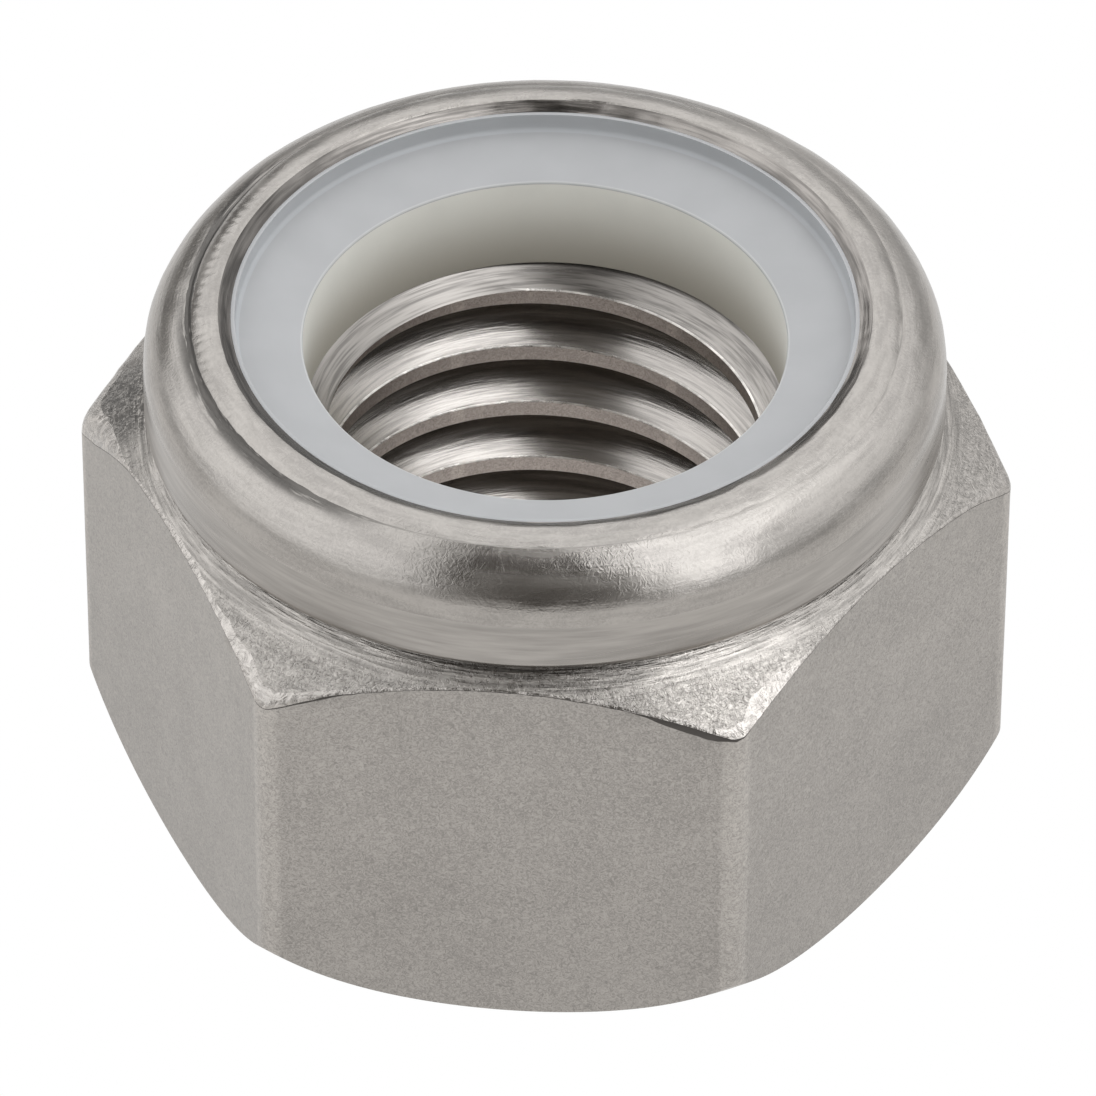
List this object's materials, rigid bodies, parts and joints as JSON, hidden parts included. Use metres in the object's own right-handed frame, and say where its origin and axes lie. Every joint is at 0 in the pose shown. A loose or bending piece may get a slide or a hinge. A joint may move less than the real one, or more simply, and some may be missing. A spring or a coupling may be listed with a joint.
{
  "type": "nylon insert lock nut",
  "caption": "Hexagon lock nut with a turned collar whose rolled lip holds a nylon ring; the ring grips the bolt's thread so that vibration can't loosen it.",
  "frame": {"origin": "centre of the bearing face, on the thread's axis", "axes": "+Z along the thread's axis, from the bearing face to the nylon ring; Y across two flats; X across two corners"},
  "size_m": [0.0218, 0.019, 0.0136],
  "materials": {
    "steel": "satin stainless steel, fine drawn grain on the flats and turning marks on the collar and chamfer",
    "nylon": "natural nylon, milky and slightly translucent"
  },
  "bodies": {
    "root": {"nut_body": "steel", "nylon_insert": "nylon"}
  },
  "joints": []
}
